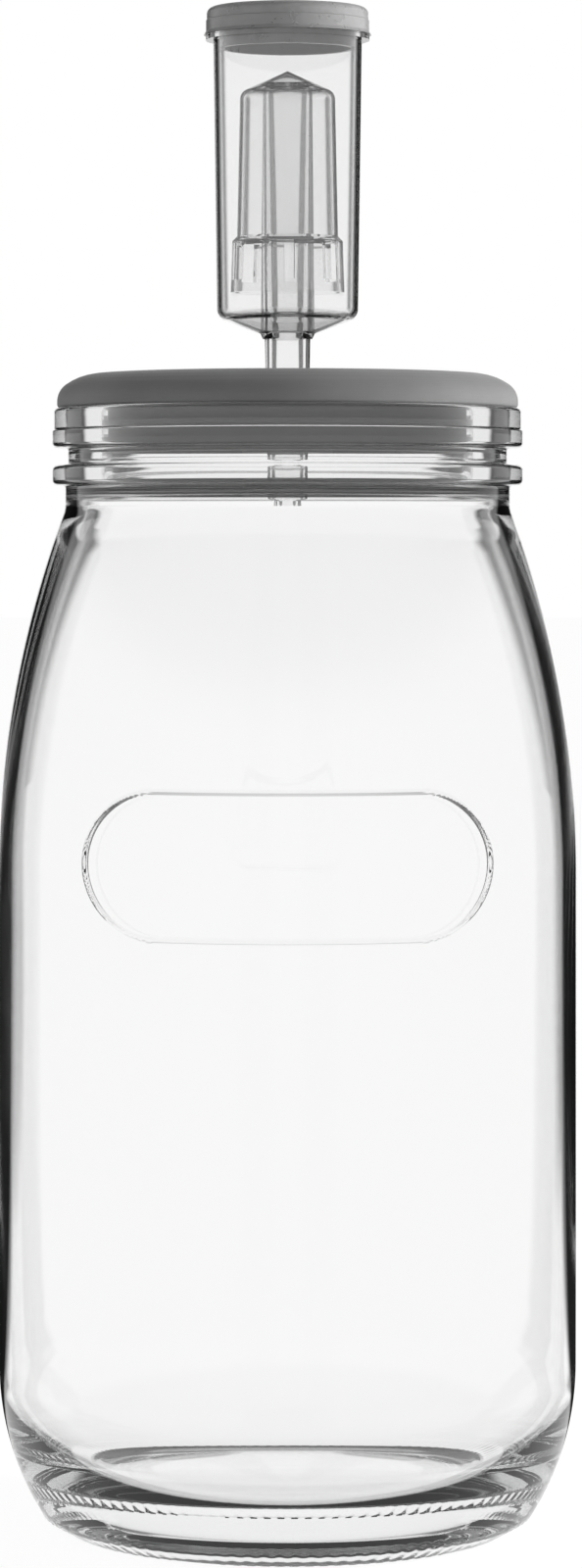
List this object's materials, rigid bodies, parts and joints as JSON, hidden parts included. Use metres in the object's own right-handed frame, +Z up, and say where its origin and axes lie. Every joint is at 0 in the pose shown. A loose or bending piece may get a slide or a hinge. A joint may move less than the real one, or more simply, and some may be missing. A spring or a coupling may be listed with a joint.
{
  "type": "fermentation jar with airlock",
  "caption": "Tall round-shouldered glass jar with a ringed neck, a soft plug lid and a clear water airlock with a bell float and a vented cap.",
  "frame": {"origin": "middle of the flat ring that the jar stands on, at the height of the surface it stands on", "axes": "+Z up along the jar's axis, from the foot to the airlock's cap; the bare label place faces -Y"},
  "size_m": [0.14, 0.1406, 0.3675],
  "materials": {
    "jar_glass": "clear, fire-polished soda-lime glass, moulded",
    "silicone": "grey silicone rubber, satin from the mould",
    "clear_plastic": "clear moulded polystyrene, glossy",
    "grey_plastic": "grey moulded polyethylene, satin"
  },
  "bodies": {
    "jar": {"glass_jar": "jar_glass"},
    "lid": {"silicone_lid": "silicone"},
    "airlock": {"airlock_body": "clear_plastic"},
    "float": {"airlock_float": "clear_plastic"},
    "cap": {"airlock_cap": "grey_plastic"}
  },
  "joints": [
    {"name": "lid_lift", "type": "slide", "parent": "jar", "child": "lid", "axis": [0, 0, 1], "range_m": [0, 0.06]},
    {"name": "airlock_pull", "type": "slide", "parent": "lid", "child": "airlock", "axis": [0, 0, 1], "range_m": [0, 0.05]},
    {"name": "float_rise", "type": "slide", "parent": "airlock", "child": "float", "axis": [0, 0, 1], "range_m": [0, 0.012]},
    {"name": "cap_lift", "type": "slide", "parent": "airlock", "child": "cap", "axis": [0, 0, 1], "range_m": [0, 0.03]}
  ]
}
